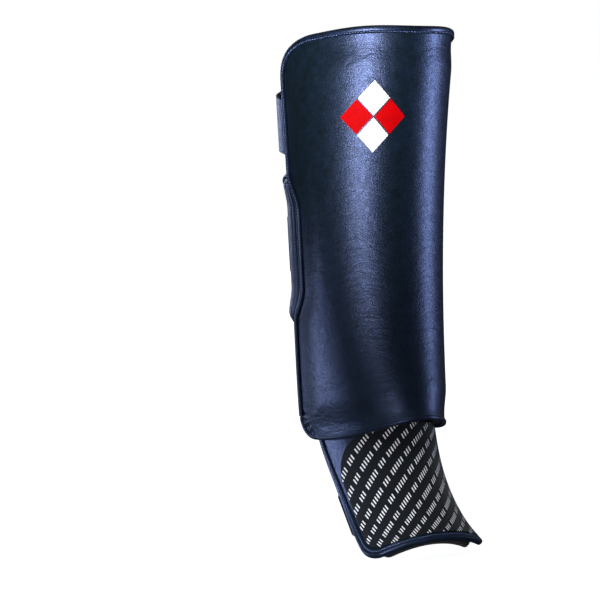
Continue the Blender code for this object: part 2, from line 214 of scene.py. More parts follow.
def shell_depths(angle, height):
    """Depths under the skin of the shell's outer and inner face."""
    inside = edge_distance(angle, height) - FLANGE_WIDTH
    roll = smooth(inside / ROLL_WIDTH)
    foam = FLANK_FOAM + (RIDGE_FOAM - FLANK_FOAM) * np.maximum(np.cos(angle), 0) ** 1.5
    foam = foam * (1 - HEM_FOAM_LOSS * (1 - height / SHIN_LENGTH) ** 6)
    outer = SKIN_DIP * (1 - smooth(inside / SKIN_ROLL_WIDTH))
    return outer, SKIN_DIP * (1 - roll) + FLANGE + (foam - FLANGE) * roll


def linear(code):
    """Linear colour with alpha, from an sRGB code such as #203040."""
    parts = [int(code[start : start + 2], 16) / 255 for start in (1, 3, 5)]
    light = [part / 12.92 if part <= 0.04045 else ((part + 0.055) / 1.055) ** 2.4 for part in parts]
    return (*light, 1.0)


def add_node(tree, kind, inputs=None, **settings):
    """Shader node of a kind with its settings; each input is a value or the socket that feeds it."""
    made = tree.nodes.new("ShaderNode" + kind)
    for key, value in settings.items():
        setattr(made, key, value)
    for key, value in (inputs or {}).items():
        if isinstance(value, bpy.types.NodeSocket):
            tree.links.new(value, made.inputs[key])
        else:
            made.inputs[key].default_value = value
    return made


def new_surface(name, inputs):
    """Material with a Principled shader; returns it with its tree and the shader."""
    material = bpy.data.materials.new(name)
    material.use_nodes = True
    shader = material.node_tree.nodes["Principled BSDF"]
    for key, value in inputs.items():
        shader.inputs[key].default_value = value
    return material, material.node_tree, shader


def ramp(tree, factor, stops):
    """Colour ramp fed by a factor, with stops of (place, colour)."""
    made = add_node(tree, "ValToRGB", {"Fac": factor})
    elements = made.color_ramp.elements
    while len(elements) < len(stops):
        elements.new(0.5)
    for element, (place, colour) in zip(elements, stops):
        element.position = place
        element.color = colour
    return made.outputs["Color"]


def new_leather(name, dark, light, rough, grain, crease):
    """Satin artificial leather: pebbled grain a millimetre wide, soft creases and a mottled dye.

    The blue tint of its gloss gives the eye a navy sheen over a nearly black ground.
    """
    gloss_tint = {"Specular IOR Level": 0.8, "Specular Tint": linear("#a8bcff")}
    material, tree, shader = new_surface(name, gloss_tint)
    place = add_node(tree, "TexCoord").outputs["Object"]
    patches = add_node(tree, "TexNoise", {"Vector": place, "Scale": 95, "Detail": 4, "Roughness": 0.62})
    dye = ramp(tree, patches.outputs["Fac"], [(0.35, linear(dark)), (0.68, linear(light))])
    tree.links.new(dye, shader.inputs["Base Color"])
    sheen = add_node(tree, "TexNoise", {"Vector": place, "Scale": 240, "Detail": 3, "Roughness": 0.7})
    worn = {"From Min": 0.3, "From Max": 0.7, "To Min": rough - 0.05, "To Max": rough + 0.07}
    gloss = add_node(tree, "MapRange", {"Value": sheen.outputs["Fac"], **worn})
    tree.links.new(gloss.outputs["Result"], shader.inputs["Roughness"])
    pebbles = add_node(tree, "TexVoronoi", {"Vector": place, "Scale": 1000}, feature="SMOOTH_F1")
    pebbled = add_node(
        tree,
        "Bump",
        {"Height": pebbles.outputs["Distance"], "Strength": grain, "Distance": 0.0003},
        invert=True,
    ).outputs["Normal"]
    stretched = add_node(tree, "Mapping", {"Vector": place, "Scale": (1.0, 1.0, 2.6)}).outputs["Vector"]
    waves = {"Scale": 60, "Detail": 3, "Roughness": 0.55, "Distortion": 0.6}
    creases = add_node(tree, "TexNoise", {"Vector": stretched, **waves}).outputs["Fac"]
    depth = {"Strength": crease, "Distance": 0.0035}
    creased = add_node(tree, "Bump", {"Height": creases, "Normal": pebbled, **depth})
    tree.links.new(creased.outputs["Normal"], shader.inputs["Normal"])
    return material


def new_cloth(name, dark, light, pitch, rough):
    """Woven or ribbed cloth: crossing threads of a pitch in metres on the piece's own UV.

    The threads' small hills are bumps. The colour is painted darker in the weave's low places, as shade
    between the threads, and differs at random with the fibre. The rough fibre gives the eye a dull, dry black
    beside the leather.
    """
    material, tree, shader = new_surface(
        name, {"Roughness": rough, "Specular IOR Level": 0.25, "Sheen Weight": 0.15, "Sheen Roughness": 0.5}
    )
    flat = add_node(tree, "UVMap", uv_map="flat").outputs["UV"]
    across = add_node(
        tree, "TexWave", {"Vector": flat, "Scale": math.pi / (10 * pitch[0])}, bands_direction="X"
    ).outputs["Fac"]
    along = add_node(
        tree, "TexWave", {"Vector": flat, "Scale": math.pi / (10 * pitch[1])}, bands_direction="Y"
    ).outputs["Fac"]
    weave = add_node(tree, "Math", {0: across, 1: along}, operation="MULTIPLY").outputs["Value"]
    fluff = add_node(tree, "TexNoise", {"Vector": flat, "Scale": 350, "Detail": 3}).outputs["Fac"]
    # The colour follows the weave's height: painted shade in its low places between the threads, with random
    # fibre tone.
    share = add_node(tree, "Math", {0: weave, 1: fluff}, operation="MULTIPLY").outputs["Value"]
    tint = ramp(tree, share, [(0.05, linear(dark)), (0.5, linear(light))])
    tree.links.new(tint, shader.inputs["Base Color"])
    relief = add_node(tree, "Bump", {"Height": weave, "Strength": 0.6, "Distance": 0.0003})
    tree.links.new(relief.outputs["Normal"], shader.inputs["Normal"])
    return material


def add_piece(name, points, faces, materials, flat=None, slots=None, sharp=40):
    """Piece with smooth shading, its flat places in metres as UV, riding on the part."""
    mesh = bpy.data.meshes.new(name)
    mesh.from_pydata(np.asarray(points).reshape(-1, 3).tolist(), [], faces)
    mesh.shade_smooth()
    mesh.set_sharp_from_angle(angle=math.radians(sharp))
    for material in materials:
        mesh.materials.append(material)
    if slots is not None:
        mesh.polygons.foreach_set("material_index", np.asarray(slots, dtype=np.int32))
    if flat is not None:
        corners = np.empty(len(mesh.loops), dtype=np.int32)
        mesh.loops.foreach_get("vertex_index", corners)
        layer = mesh.uv_layers.new(name="flat")
        layer.data.foreach_set("uv", np.asarray(flat).reshape(-1, 2)[corners].astype(np.float32).ravel())
    obj = bpy.data.objects.new(name, mesh)
    bpy.context.collection.objects.link(obj)
    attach(obj, "root")
    return obj


def add_slab(name, front, back, materials, flat=None):
    """Closed slab between two grids of points; the second material lines its back."""
    rows, columns = front.shape[:2]
    index = np.arange(rows * columns).reshape(rows, columns)
    corners = [index[:-1, :-1], index[:-1, 1:], index[1:, 1:], index[1:, :-1]]
    facing = np.stack(corners, axis=-1).reshape(-1, 4)
    behind = facing[:, ::-1] + rows * columns
    rim = np.concatenate([index[0, :], index[1:, -1], index[-1, -2::-1], index[-2:0:-1, 0]])
    after = np.roll(rim, -1)
    sides = np.stack([rim, rim + rows * columns, after + rows * columns, after], axis=-1)
    faces = np.concatenate([facing, behind, sides])
    slots = np.repeat([0, min(1, len(materials) - 1), 0], [len(facing), len(behind), len(sides)])
    points = np.concatenate([front.reshape(-1, 3), back.reshape(-1, 3)])
    if flat is not None:
        flat = np.concatenate([flat.reshape(-1, 2)] * 2)
    return add_piece(name, points, faces.tolist(), materials, flat, slots)


LEATHER = new_leather("satin_leather", "#091518", "#0f1d2a", 0.38, 0.45, 0.15)
LINING = new_cloth("lining_mesh", "#0c0d10", "#2c2e36", (0.0016, 0.0016), 0.9)

angle = np.broadcast_to(BACK_EDGE_ANGLE * clustered(SHELL_COLUMNS), (SHELL_ROWS, SHELL_COLUMNS))
from_back = (BACK_EDGE_ANGLE - np.abs(angle[0])) * WAIST_DEPTH
lowest = corner_inset(from_back, HEM_CORNER_RADIUS)
highest = SHIN_LENGTH - corner_inset(from_back, TOP_CORNER_RADIUS)
height = lowest + (highest - lowest) * (clustered(SHELL_ROWS)[:, None] + 1) / 2
point, normal, _ = skin_frame(angle, height)
outer, inner = shell_depths(angle, height)
outer = outer - hem_pucker(angle, height)
shin_pad = add_slab(
    "shin_pad_dressed",
    point - outer[..., None] * normal,
    point - inner[..., None] * normal,
    [LEATHER, LINING],
    np.stack([angle * WAIST_DEPTH, height], axis=-1),
)
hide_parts("shin_pad")

# Emblem field
# Four lozenges of pressed transfer film on the outer front of the shell, white above and below
# and red at the sides.

EMBLEM_ANGLE = math.radians(-26)
EMBLEM_FROM_TOP = 0.073
EMBLEM_HEIGHT = SHIN_LENGTH - EMBLEM_FROM_TOP
EMBLEM_HALF = 0.031
EMBLEM_GAP = 0.0016
FILM = 0.00025
FILM_LIFT = 0.00012


def new_film(name, colour):
    """Transfer film: flat bright colour, nearly matt, with the leather's grain pressed through."""
    material, tree, shader = new_surface(name, {"Roughness": 0.6, "Specular IOR Level": 0.04})
    place = add_node(tree, "TexCoord").outputs["Object"]
    patches = add_node(tree, "TexNoise", {"Vector": place, "Scale": 120, "Detail": 3})
    shade = tuple(0.86 * part for part in linear(colour)[:3]) + (1.0,)
    tint = ramp(tree, patches.outputs["Fac"], [(0.35, shade), (0.6, linear(colour))])
    tree.links.new(tint, shader.inputs["Base Color"])
    pebbles = add_node(tree, "TexVoronoi", {"Vector": place, "Scale": 1000}, feature="SMOOTH_F1")
    grain = {"Height": pebbles.outputs["Distance"], "Strength": 0.2, "Distance": 0.0002}
    relief = add_node(tree, "Bump", grain, invert=True)
    tree.links.new(relief.outputs["Normal"], shader.inputs["Normal"])
    return material


def lozenge(name, centre, material):
    """One lozenge of film, laid on the leather: its flat sides run at 45 degrees to the pad."""
    first, second = np.meshgrid(np.linspace(-1, 1, 15), np.linspace(-1, 1, 15))
    half = EMBLEM_HALF / 2 - EMBLEM_GAP / 2
    sideways = centre[0] * EMBLEM_HALF / 2 + half * (first - second) / 2
    upward = centre[1] * EMBLEM_HALF / 2 + half * (first + second) / 2
    place, out, _ = skin_frame(EMBLEM_ANGLE + sideways / WAIST_DEPTH, EMBLEM_HEIGHT + upward)
    film = add_slab(name, place + (FILM_LIFT + FILM) * out, place + FILM_LIFT * out, [material])


WHITE_FILM = new_film("white_film", "#f6f6f8")
RED_FILM = new_film("red_film", "#cc0006")
lozenge("emblem_top", (0, 1), WHITE_FILM)
lozenge("emblem_bottom", (0, -1), WHITE_FILM)
lozenge("emblem_left", (-1, 0), RED_FILM)
lozenge("emblem_right", (1, 0), RED_FILM)

# Edge binding
# One narrow leather tape folded over the flange, up the outer back edge, over the top and down
# the inner back edge, sewn through with one row of blue-grey thread that lies in a groove.

BINDING_SLACK = 0.0005
BINDING_WIDTH = 0.0046
SEAM_INWARD = 0.0030
SEAM_GROOVE = 0.0007
SEAM_GROOVE_WIDTH = 0.0008
TAPE_SWELL = 0.0002
TAPE_THIN_EDGE = 0.0005
TAPE_FLAT_FROM = 0.0006
SWEEP_STEP = 0.0015
STITCH_SINK = 0.0001
STITCH_PITCH = 0.0025
STITCH_LENGTH = 0.0017
THREAD = 0.00042


def even(points, spacing):
    """A path's points again, evenly spaced along it."""
    run = np.concatenate([[0], np.cumsum(np.linalg.norm(np.diff(points, axis=0), axis=-1))])
    places = np.linspace(0, run[-1], int(run[-1] / spacing) + 2)
    return np.stack([np.interp(places, run, column) for column in points.T], axis=-1)


def corner(centre, radius, start, end):
    """Quarter circle on the flat skin, from one direction to another in degrees."""
    turn = np.radians(np.linspace(start, end, 25))[:, None]
    return np.asarray(centre) + radius * np.concatenate([np.cos(turn), np.sin(turn)], axis=1)


def edge_frames(flat):
    """Middle of the flange along flat edge places, the direction in from the edge and the normal."""
    place, out, _ = skin_frame(flat[:, 0] / WAIST_DEPTH, flat[:, 1])
    path = place - (SKIN_DIP + FLANGE / 2) * out
    along = unit(np.gradient(path, axis=0))
    return path, unit(np.cross(along, out)), out


def tape_profile(inside, width, seam):
    """Folded tape's outline as (inward, normal) distances: a round nose and a groove at its seam."""
    gap = inside / 2 + CLEARANCE
    full = gap + TAPE
    nose = CLEARANCE + TAPE
    turn = np.linspace(math.pi / 2, 3 * math.pi / 2, 11)
    fold = np.stack([nose * np.cos(turn), full * np.sin(turn)], axis=-1)
    across = np.linspace(TAPE_FLAT_FROM, width, 12)
    groove = SEAM_GROOVE * bump(across - seam, SEAM_GROOVE_WIDTH)
    thin = TAPE_THIN_EDGE * smooth((across - width + SEAM_GROOVE_WIDTH) / SEAM_GROOVE_WIDTH)
    over = np.stack([across, full + TAPE_SWELL - groove - thin], axis=-1)
    slot = [(width, -gap), (-CLEARANCE, -gap), (-CLEARANCE, gap), (width, gap)]
    return np.concatenate([over[::-1], fold, over * (1, -1), slot])


def add_sweep(name, path, inward, normal, profile, materials):
    """Outline of (inward, normal) distances carried along a path, with closed ends."""
    places = path[:, None] + profile[:, :1] * inward[:, None] + profile[:, 1:] * normal[:, None]
    stations, corners = places.shape[:2]
    here = np.arange(stations * corners).reshape(stations, corners)
    after = np.roll(here, -1, axis=1)
    walls = np.stack([here[:-1], after[:-1], after[1:], here[1:]], axis=-1).reshape(-1, 4)
    faces = walls.tolist() + [here[0, ::-1].tolist(), here[-1].tolist()]
    run = np.concatenate([[0], np.cumsum(np.linalg.norm(np.diff(path, axis=0), axis=-1))])
    around = np.concatenate([[0], np.cumsum(np.linalg.norm(np.diff(profile, axis=0), axis=-1))])
    flat = np.stack(np.broadcast_arrays(run[:, None], around[None, :]), axis=-1)
    return add_piece(name, places, faces, materials, flat)


def add_stitches(name, path, normal, material):
    """Row of thread stitches that lie along a path, each a small dipped six-sided capsule."""
    run = np.concatenate([[0], np.cumsum(np.linalg.norm(np.diff(path, axis=0), axis=-1))])
    starts = np.arange(STITCH_PITCH / 2, run[-1] - STITCH_LENGTH, STITCH_PITCH)
    shares = np.array([0.0, 0.18, 0.5, 0.82, 1.0])
    girth = THREAD * np.array([0.25, 0.9, 1.0, 0.9, 0.25])
    lift = THREAD * np.array([-0.8, 0.1, 0.5, 0.1, -0.8])
    places = starts[:, None] + STITCH_LENGTH * shares
    spine = np.stack([np.interp(places, run, column) for column in path.T], axis=-1)
    out = unit(np.stack([np.interp(places, run, column) for column in normal.T], axis=-1))
    side = unit(np.cross(np.gradient(spine, axis=1), out))
    turn = np.arange(6) * math.pi / 3
    ring = np.cos(turn)[:, None] * side[:, :, None] + np.sin(turn)[:, None] * out[:, :, None]
    points = spine[:, :, None] + lift[:, None, None] * out[:, :, None] + girth[:, None, None] * ring
    index = np.arange(30).reshape(5, 6)
    turned = np.roll(index, -1, axis=1)
    walls = np.stack([index[:-1], index[1:], turned[1:], turned[:-1]], axis=-1).reshape(-1, 4)
    offsets = 30 * np.arange(len(starts))[:, None, None]
    faces = (offsets + walls).reshape(-1, 4).tolist()
    faces += (offsets[:, 0] + index[0]).tolist() + (offsets[:, 0] + index[-1, ::-1]).tolist()
    return add_piece(name, points, faces, [material])


def new_thread(name, dark, light):
    """Twisted polyester thread: slanted bands of two blues, a fine dotted line in its dark groove."""
    material, tree, shader = new_surface(name, {"Roughness": 0.7, "Specular IOR Level": 0.3})
    place = add_node(tree, "TexCoord").outputs["Object"]
    twist = add_node(tree, "TexWave", {"Vector": place, "Scale": 500}, bands_direction="DIAGONAL")
    bands = ramp(tree, twist.outputs["Fac"], [(0.2, linear(dark)), (0.8, linear(light))])
    tree.links.new(bands, shader.inputs["Base Color"])
    return material


TAPE_LEATHER = new_leather("binding_leather", "#0a141a", "#142036", 0.36, 0.25, 0.06)
SEWING_THREAD = new_thread("sewing_thread", "#35426c", "#7080b0")

back = BACK_EDGE_ANGLE * WAIST_DEPTH
top_inset = back - TOP_CORNER_RADIUS
top_level = SHIN_LENGTH - TOP_CORNER_RADIUS
binding_flat = np.concatenate(
    [
        [(-back, HEM_CORNER_RADIUS)],
        corner((-top_inset, top_level), TOP_CORNER_RADIUS, 180, 90),
        corner((top_inset, top_level), TOP_CORNER_RADIUS, 90, 0),
        [(back, HEM_CORNER_RADIUS)],
    ]
)
path, inward, normal = edge_frames(even(binding_flat, SWEEP_STEP))
profile = tape_profile(FLANGE + BINDING_SLACK, BINDING_WIDTH, SEAM_INWARD)
edge_binding = add_sweep("edge_binding_dressed", path, inward, normal, profile, [TAPE_LEATHER])
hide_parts("edge_binding")
seam_level = (FLANGE + BINDING_SLACK) / 2 + CLEARANCE + TAPE - STITCH_SINK
for side, name in ((1, "edge_binding_stitches"), (-1, "edge_binding_back_stitches")):
    row = path + SEAM_INWARD * inward + side * seam_level * normal
    add_stitches(name, row, side * normal, SEWING_THREAD)

# Hem piping
# A narrow tape roll along the bottom edge, from one back edge round both hem corners.

PIPING_WIDTH = 0.0022
PIPING_NO_SEAM = 0.01
PIPING_FLATTEN = 0.92

hem_inset = back - HEM_CORNER_RADIUS
hem_flat = np.concatenate(
    [
        corner((-hem_inset, HEM_CORNER_RADIUS), HEM_CORNER_RADIUS, 183, 270),
        corner((hem_inset, HEM_CORNER_RADIUS), HEM_CORNER_RADIUS, 270, 357),
    ]
)
path, inward, normal = edge_frames(even(hem_flat, SWEEP_STEP))
profile = tape_profile(FLANGE, PIPING_WIDTH, PIPING_NO_SEAM)[::-1] * (1, PIPING_FLATTEN)
hem_piping = add_sweep("hem_piping_dressed", path, -inward, normal, profile, [TAPE_LEATHER])
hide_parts("hem_piping")

# Calf wings
# Thin padded leather panels sewn to the back edges, which bend in round the calf; each has a
# stitched seam along its base and a groove pressed in round its border.

WING_SEAM = 0.0009
WING_LENGTH = 0.053
WING_BEND_RADIUS = 0.038
WING_CORNER_RADIUS = 0.014
WING_SLOPE = 0.022
WING_THICKNESS = 0.0042
WING_ROUND = 0.0025
WING_BORDER = 0.0045
WING_GROOVE = 0.0007
WING_GROOVE_WIDTH = 0.0012
WING_GROOVE_FROM = 0.003
WING_RIM_LEAN = 0.92
WING_SEAM_INSET = 0.006
WING_SEAM_POINTS = 80
WING_STITCH_SINK = 0.00045
WING_COLUMNS = 60
WING_ROWS = 90


def wing_surface(side, along, height, off=0.0):
    """Wing's middle surface: on from the flank, bent round the calf; off is a distance outwards."""
    place, out, around = skin_frame(side * BACK_EDGE_ANGLE, height)
    backward = side * around
    base = place - (SKIN_DIP + FLANGE / 2) * out + (CLEARANCE + TAPE + WING_SEAM) * backward
    bend = (along / WING_BEND_RADIUS)[..., None]
    reach = WING_BEND_RADIUS * (np.sin(bend) * backward - (1 - np.cos(bend)) * out)
    return base + reach + np.asarray(off)[..., None] * (np.cos(bend) * out + np.sin(bend) * backward)


def round_edge(distance, radius):
    """Share of a slab's half thickness at a distance in from its rim, for a round rim."""
    return np.sqrt(1 - (1 - np.clip(distance / radius, 0, 1)) ** 2)


for side, name in ((-1, "calf_wing_left"), (1, "calf_wing_right")):
    columns = np.linspace(0, 1, WING_COLUMNS) ** 0.9
    along = np.broadcast_to(columns * WING_LENGTH, (WING_ROWS, WING_COLUMNS))
    to_end = WING_LENGTH - along
    corner_in = corner_inset(to_end, WING_CORNER_RADIUS) + WING_SLOPE * along / WING_LENGTH
    bottom = SHIN_LENGTH - WING_FROM_TOP - WING_HEIGHT
    share = (clustered(WING_ROWS)[:, None] + 1) / 2
    height = bottom + corner_in + (WING_HEIGHT - 2 * corner_in) * share
    to_side = (WING_HEIGHT - 2 * corner_in) * np.minimum(share, 1 - share) * WING_RIM_LEAN
    rim = np.minimum(to_end, to_side)
    border = bump(rim - WING_BORDER, WING_GROOVE_WIDTH)
    seam = bump(along - WING_BORDER, WING_GROOVE_WIDTH)
    groove = WING_GROOVE * np.maximum(border, seam) * smooth(rim / WING_GROOVE_FROM)
    half = WING_THICKNESS / 2 * round_edge(rim, WING_ROUND) - groove
    faces = [wing_surface(side, along, height, off) for off in (half, -half)]
    flat = np.stack([along, height], axis=-1)
    if side < 0:
        faces = [grid[:, ::-1] for grid in faces]
        flat = flat[:, ::-1]
    wing = add_slab(name + "_dressed", faces[0], faces[1], [LEATHER, LINING], flat)
    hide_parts(name)
    seam_ends = (bottom + WING_SEAM_INSET, bottom + WING_HEIGHT - WING_SEAM_INSET)
    seam_height = np.linspace(*seam_ends, WING_SEAM_POINTS)
    seam_along = np.full(WING_SEAM_POINTS, WING_BORDER)
    row = wing_surface(side, seam_along, seam_height, WING_THICKNESS / 2 - WING_STITCH_SINK)
    out = row - wing_surface(side, seam_along, seam_height, 0.0)
    add_stitches(name + "_stitches", row, out, SEWING_THREAD)

# Upper strap
# A leather band sewn inside the outer flank, and an elastic band from the inner flank that
# fastens over it behind the calf.

STRAP_WIDTH = 0.050
STRAP_THICKNESS = 0.0026
STRAP_FROM_TOP = 0.058
STRAP_SEWN_LENGTH = 0.024
STRAP_SEAT = 0.0021
STRAP_FREE_LEAN = 0.14
STRAP_CURVE = 0.62
CALF_DEPTH = 0.066
STRAP_OVERLAP = 0.30
STRAP_RISE_START = 0.34
STRAP_RISE_RUN = 0.30
STRAP_ROUND = 0.0018
STRAP_BLUNT_END = 0.0004
STRAP_BORDER = 0.0042
STRAP_GROOVE = 0.0004
STRAP_GROOVE_WIDTH = 0.0010
STRAP_ROWS = 31


def bezier(start, first, second, end, share):
    """Cubic curve from start to end, pulled by two points between them."""
    rest = 1 - share
    return rest**3 * start + 3 * rest**2 * share * first + 3 * rest * share**2 * second + share**3 * end


def strap_route(height, share, seat, seat_direction, depth):
    """Half a strap's loop from its seat at one flank to the middle of the calf's back."""
    behind = np.stack([np.zeros_like(height), np.full_like(height, depth), height - SHIN_LENGTH / 2], axis=-1)
    pull = STRAP_CURVE * (depth - seat[..., 1:2])
    sideways = seat * (STRAP_CURVE, 0.0, 0.0) + behind * (0.0, 1.0, 1.0)
    return bezier(seat, seat + pull * seat_direction, sideways, behind, share[..., None])


def upper_strap_half(side, share, height):
    """Middle of the upper strap: sewn inside the flank for share below 0, then free round the calf."""
    sewn = np.clip(-share, 0, 1) * STRAP_SEWN_LENGTH
    turn = side * (BACK_EDGE_ANGLE - sewn / END_DEPTH)
    place, out, around = skin_frame(turn, height)
    depth = shell_depths(turn, height)[1] + STRAP_SEAT + STRAP_THICKNESS / 2
    seat = place - depth[..., None] * out
    direction = unit(side * around + STRAP_FREE_LEAN * out)
    free = strap_route(height, np.clip(share, 0, 1), seat, direction, CALF_DEPTH)
    return np.where(share[..., None] < 0, seat, free)


def loop_sheet(half, shares, height, side):
    """Strap's middle surface along a signed share, from one side or past the back's middle to the other."""
    near = half(side, np.minimum(shares, 1), height)
    far = half(-side, np.clip(2 - shares, -1, 1), height)
    return np.where(shares[..., None] <= 1, near, far)


def add_strap(name, middle, rise, materials, groove):
    """Strap round a middle surface, lifted outwards by rise, with round edges and grooved borders.

    Returns the piece and its length along the middle.
    """
    rows, columns = middle.shape[:2]
    out = unit(np.cross(np.gradient(middle, axis=1), np.gradient(middle, axis=0)))
    outward = out * np.sign((out * (middle * (1, 1, 0))).sum(axis=-1).mean())
    run = np.concatenate([[0], np.cumsum(np.linalg.norm(np.diff(middle[rows // 2], axis=0), axis=-1))])
    across = np.linspace(0, STRAP_WIDTH, rows)[:, None]
    to_side = np.minimum(across, STRAP_WIDTH - across)
    to_edge = np.minimum(to_side, np.minimum(run, run[-1] - run) + STRAP_BLUNT_END)
    border = groove * bump(to_edge - STRAP_BORDER, STRAP_GROOVE_WIDTH)
    half = STRAP_THICKNESS / 2 * round_edge(to_edge, STRAP_ROUND) - border
    lifted = middle + rise[..., None] * outward
    flat = np.stack(np.broadcast_arrays(run[None, :], across), axis=-1)
    offset = half[..., None] * out
    return add_slab(name, lifted + offset, lifted - offset, materials, flat), run[-1]


# The strap leather's dye is bluer and lighter than the shell's. This is a painted blue sheen over the same
# dark leather.
STRAP_LEATHER_PAINTED_SHEEN = new_leather("strap_leather_painted_sheen", "#0b1526", "#15213c", 0.40, 0.30, 0.08)
WEBBING = new_cloth("elastic_ribs", "#08090c", "#25272f", (0.0011, 0.0019), 0.85)

strap_bottom = SHIN_LENGTH - STRAP_FROM_TOP - STRAP_WIDTH
level_rows = strap_bottom + STRAP_WIDTH * (clustered(STRAP_ROWS) + 1) / 2
shares, level = np.broadcast_arrays(np.linspace(-1, 1 + STRAP_OVERLAP, 150)[None, :], level_rows[:, None])
anchor_middle = loop_sheet(upper_strap_half, shares, level, -1)
anchor, length = add_strap(
    "upper_strap_anchor_dressed", anchor_middle, 0 * shares, [STRAP_LEATHER_PAINTED_SHEEN], STRAP_GROOVE
)
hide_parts("upper_strap_anchor")
over = smooth((shares - STRAP_RISE_START) / STRAP_RISE_RUN)
rise = (STRAP_THICKNESS + CLEARANCE) * over[:, ::-1]
strap_middle = loop_sheet(upper_strap_half, shares, level, 1)[:, ::-1]
strap, length = add_strap("upper_strap_dressed", strap_middle, rise, [WEBBING], 0.0)
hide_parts("upper_strap")

# Lower strap
# One elastic band from wing to wing behind the calf, sewn to the wings' outer faces.

LOWER_CALF_DEPTH = 0.057
LOWER_STRAP_ON_WING = 0.020


def lower_strap_half(side, share, height):
    """Middle of the lower strap: on the wing's outer face for share below 0, then free round the calf."""
    off = WING_THICKNESS / 2 + CLEARANCE + STRAP_THICKNESS / 2
    along = WING_LENGTH - np.clip(-share, 0, 1) * LOWER_STRAP_ON_WING
    seat = wing_surface(side, along, height, off)
    before = wing_surface(side, along - 0.001, height, off)
    free = strap_route(height, np.clip(share, 0, 1), seat, unit(seat - before), LOWER_CALF_DEPTH)
    return np.where(share[..., None] < 0, seat, free)


bottom = SHIN_LENGTH - WING_FROM_TOP - (WING_HEIGHT + STRAP_WIDTH) / 2
level_rows = bottom + np.linspace(0, STRAP_WIDTH, STRAP_ROWS)
shares, level = np.broadcast_arrays(np.linspace(-1, 3, 200)[None, :], level_rows[:, None])
lower_strap, length = add_strap(
    "lower_strap_dressed", loop_sheet(lower_strap_half, shares, level, -1), 0 * shares, [WEBBING], 0.0
)
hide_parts("lower_strap")

# Instep guard
# A leather-backed arch over the foot that hangs under the hem, spreads to the toes and carries
# a printed cloth panel; a foam pad lines it and a binding goes round its free edges.

INSTEP_TUCK = 0.006
INSTEP_DROP = 0.072
INSTEP_LENGTH = HEM_ARCH + INSTEP_TUCK + INSTEP_DROP
INSTEP_HALF_GIRTH = 0.061
INSTEP_TOP_DEPTH = 0.0755
INSTEP_TOE_DEPTH = 0.125
INSTEP_TOP_HALF_WIDTH = 0.0494
INSTEP_TOE_HALF_WIDTH = 0.0555
INSTEP_WAIST_PINCH = 0.0032
INSTEP_TOP_RISE = 0.070
INSTEP_TOE_RISE = 0.023
INSTEP_TOP_TILT = math.radians(20)
INSTEP_TOE_TILT = math.radians(40)
INSTEP_TOP_ARC = math.radians(88)
INSTEP_TOE_ARC = math.radians(50)
INSTEP_TOP_PULL = (0.02, 0.31)
INSTEP_TOE_PULL = (0.50, 0.19)
INSTEP_CORNER_RADIUS = 0.012
INSTEP_SHELL = 0.0024
LAYER_RIM_SHARE = 0.25
LAYER_ROUND_SHARE = 0.8
LAYER_LEAST_ROUND = 0.0004
INSTEP_COLUMNS = 110
INSTEP_ROWS = 90
PRINT_CLOTH = 0.0010
PRINT_GAP = 0.00045
PRINT_MARGIN = 0.0062
PRINT_TOP_MARGIN = 0.014
PRINT_CORNER_RADIUS = 0.032
INSTEP_PAD_FOAM = 0.0100
INSTEP_PAD_GAP = 0.0019
INSTEP_PAD_MARGIN = 0.0090
INSTEP_PAD_TOE_MARGIN = 0.0025
ROW_TURN = math.radians(40)
ROW_PITCH = 0.0095
ROW_SHIFT = 0.0085
TICK_PITCH = 0.0024
TICK_WIDTH = 0.42
TICK_LEAN = 0.0035
TICK_HEIGHT = 0.0035
GROUP_PITCH = 0.0264
GROUP_BREAK = 0.56
GROUP_BREAK_HALF = 0.045
GROUP_END = 0.90


def instep_point(across, down):
    """Instep guard's outer face: an arch over the foot, carried down and forward along its ridge.

    across runs from -1 to 1 between its side edges, down from 0 under the hem to 1 at the toes.
    """
    run = np.array((INSTEP_TOE_DEPTH - INSTEP_TOP_DEPTH, INSTEP_LENGTH))
    start = np.array((-INSTEP_TOP_DEPTH, HEM_ARCH + INSTEP_TUCK - SHIN_LENGTH / 2))
    end = start - run
    ridge = bezier(start, start - INSTEP_TOP_PULL * run, end + INSTEP_TOE_PULL * run, end, down[..., None])
    width = INSTEP_TOP_HALF_WIDTH + (INSTEP_TOE_HALF_WIDTH - INSTEP_TOP_HALF_WIDTH) * down
    width = width - INSTEP_WAIST_PINCH * np.sin(math.pi * down) ** 2
    rise = INSTEP_TOP_RISE + (INSTEP_TOE_RISE - INSTEP_TOP_RISE) * down
    tilt = INSTEP_TOP_TILT + (INSTEP_TOE_TILT - INSTEP_TOP_TILT) * down
    arc = INSTEP_TOP_ARC + (INSTEP_TOE_ARC - INSTEP_TOP_ARC) * down
    drop = rise * (1 - np.cos(arc * across)) / (1 - np.cos(arc))
    return np.stack(
        [
            width * np.sin(arc * across) / np.sin(arc),
            ridge[..., 0] + drop * np.cos(tilt),
            ridge[..., 1] - drop * np.sin(tilt),
        ],
        axis=-1,
    )


def instep_frame(across, down):
    """Point on the instep's outer face and its outward normal."""
    step = 1e-4
    sideways = instep_point(across + step, down) - instep_point(across - step, down)
    onward = instep_point(across, down - step) - instep_point(across, down + step)
    return instep_point(across, down), unit(np.cross(sideways, onward))


def instep_grid(side, toe, upper, top_radius, columns, rows):
    """Places on the instep set in from its side, toe and top edges, with round corners."""
    share = clustered(columns)
    from_side = (1 - np.abs(share)) * INSTEP_HALF_GIRTH
    across = share * (1 - side / INSTEP_HALF_GIRTH)
    first = (upper + corner_inset(from_side, top_radius)) / INSTEP_LENGTH
    last = 1 - (toe + corner_inset(from_side, INSTEP_CORNER_RADIUS)) / INSTEP_LENGTH
    steps = (1 - clustered(rows)[:, None]) / 2
    return np.broadcast_to(across, (rows, columns)), first + (last - first) * steps


